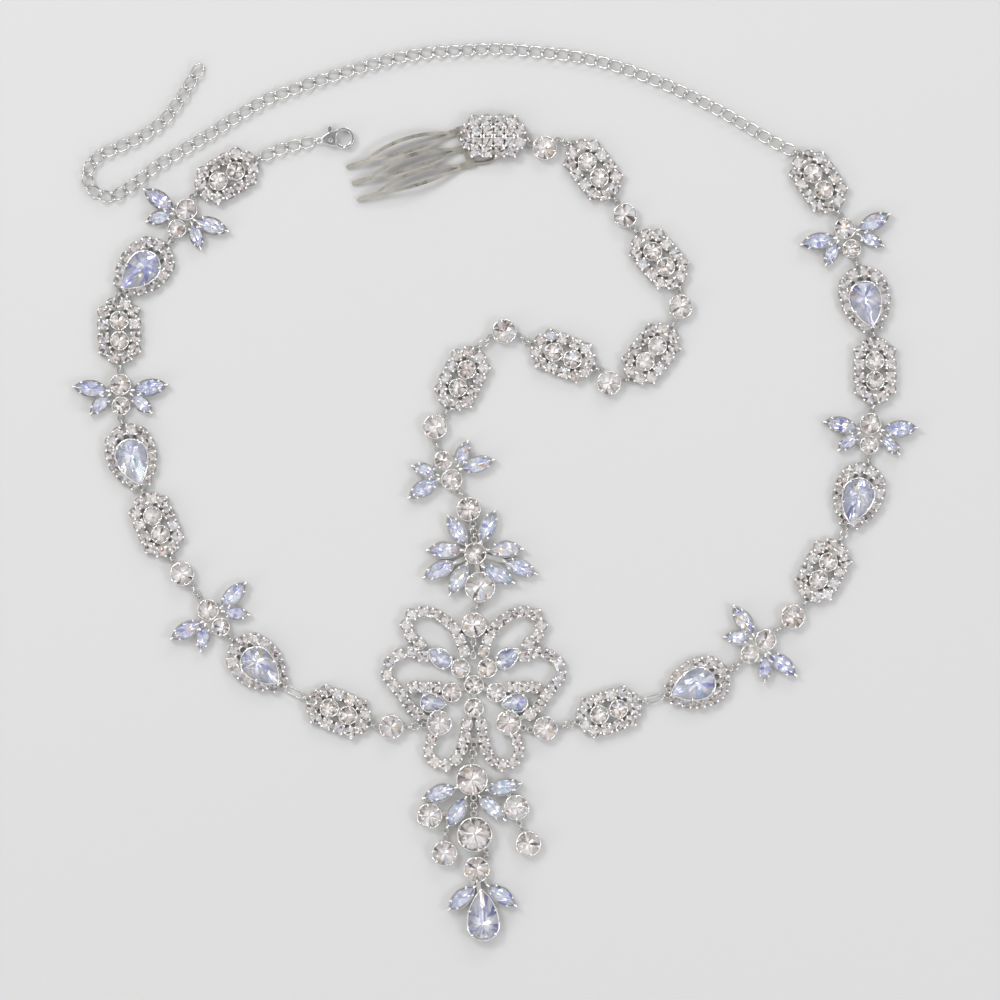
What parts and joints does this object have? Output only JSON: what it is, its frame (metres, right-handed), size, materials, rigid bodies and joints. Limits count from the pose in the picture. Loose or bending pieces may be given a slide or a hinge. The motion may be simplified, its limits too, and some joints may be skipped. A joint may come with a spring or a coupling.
{
  "type": "hair chain",
  "caption": "Jewelled head chain with a butterfly centrepiece, hanging pendant, side strands, a strand to a comb, a spring clasp and an extension chain, laid flat.",
  "frame": {"origin": "centre of the flat back of the butterfly centrepiece", "axes": "+Z out of the surface that the chain lies on, +Y from the butterfly towards the comb, +X to the right seen from the front"},
  "size_m": [0.2536, 0.2688, 0.0054],
  "materials": {
    "silver": "bright silver plate",
    "chain_silver": "bright silver plate",
    "clasp_silver": "polished silver plate",
    "comb_silver": "dull silver plate",
    "crystal": "cut glass with a foiled back",
    "lavender": "cut glass, pale lavender blue"
  },
  "bodies": {
    "chain": {"butterfly": "silver", "left_1_round": "silver", "left_2_oval": "silver", "left_3_pear": "silver", "left_4_wings": "silver", "left_5_round": "silver", "left_6_oval": "silver", "left_7_pear": "silver", "left_8_wings": "silver", "left_9_oval": "silver", "left_10_pear": "silver", "left_11_wings": "silver", "left_12_oval": "silver", "right_1_round": "silver", "right_2_oval": "silver", "right_3_pear": "silver", "right_4_wings": "silver", "right_5_round": "silver", "right_6_oval": "silver", "right_7_pear": "silver", "right_8_wings": "silver", "right_9_oval": "silver", "right_10_pear": "silver", "right_11_wings": "silver", "right_12_oval": "silver", "top_1_flower": "silver", "top_2_round": "silver", "top_3_wings_back": "silver", "top_4_round": "silver", "top_5_oval": "silver", "top_6_round": "silver", "top_7_oval": "silver", "top_8_round": "silver", "top_9_oval": "silver", "top_10_round": "silver", "top_11_oval": "silver", "top_12_round": "silver", "top_13_oval": "silver", "top_14_round": "silver", "top_15_comb_oval": "silver", "left_crystals": "crystal", "right_crystals": "crystal", "top_crystals": "crystal", "centre_crystals": "crystal", "side_lavender": "lavender", "top_lavender": "lavender", "centre_lavender": "lavender", "comb": "comb_silver", "joint_rings": "chain_silver", "extension_chain": "chain_silver", "clasp_chain": "chain_silver", "clasp_body": "clasp_silver", "clasp_pin": "clasp_silver", "pendant": "silver", "pendant_left_drop": "silver", "pendant_right_drop": "silver", "pendant_middle": "silver", "pear_drop": "silver"},
    "lever": {"clasp_lever": "clasp_silver"}
  },
  "joints": [
    {"name": "clasp_lever_hinge", "type": "hinge", "parent": "chain", "child": "lever", "pos_m": [-0.04296, 0.16479, 0.00115], "axis": [0, 0, 1], "range_deg": [0, 25], "stiffness_Nm_per_rad": 0.0057}
  ]
}
